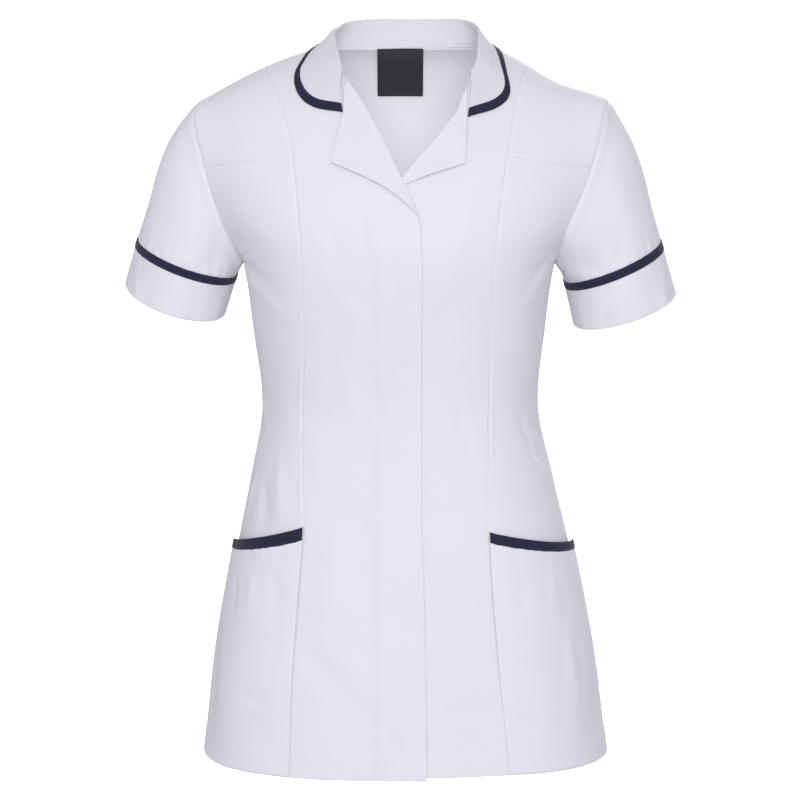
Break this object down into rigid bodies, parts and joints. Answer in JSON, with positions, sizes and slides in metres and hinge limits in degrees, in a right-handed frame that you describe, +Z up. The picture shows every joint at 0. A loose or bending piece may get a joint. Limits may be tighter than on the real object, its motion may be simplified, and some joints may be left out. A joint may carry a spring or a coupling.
{
  "type": "work tunic",
  "caption": "Short-sleeved fitted work tunic with a revere collar, concealed fly front, princess seams and side pockets, filled out as worn.",
  "frame": {"origin": "midway between the two neck points, where the shoulder seams meet the collar and the tunic rests on the wearer", "axes": "+Z up, -Y towards the front, -X towards the wearer's right side"},
  "size_m": [0.5231, 0.279, 0.6946],
  "materials": {
    "white_cloth": "white polyester and cotton twill, matt with a soft sheen",
    "navy_binding": "navy woven binding, matt",
    "label_weave": "near-black woven label, bare"
  },
  "bodies": {
    "root": {"back": "white_cloth", "front_right": "white_cloth", "front_left": "white_cloth", "side_front_right": "white_cloth", "side_front_left": "white_cloth", "yoke_right": "white_cloth", "yoke_left": "white_cloth", "sleeve_right": "white_cloth", "sleeve_left": "white_cloth", "sleeve_band_right": "navy_binding", "sleeve_band_left": "navy_binding", "cuff_right": "white_cloth", "cuff_left": "white_cloth", "collar": "white_cloth", "collar_binding": "navy_binding", "lapel_right": "white_cloth", "lapel_left": "white_cloth", "pocket_right": "white_cloth", "pocket_left": "white_cloth", "pocket_binding_right": "navy_binding", "pocket_binding_left": "navy_binding", "neck_label": "label_weave"}
  },
  "joints": []
}
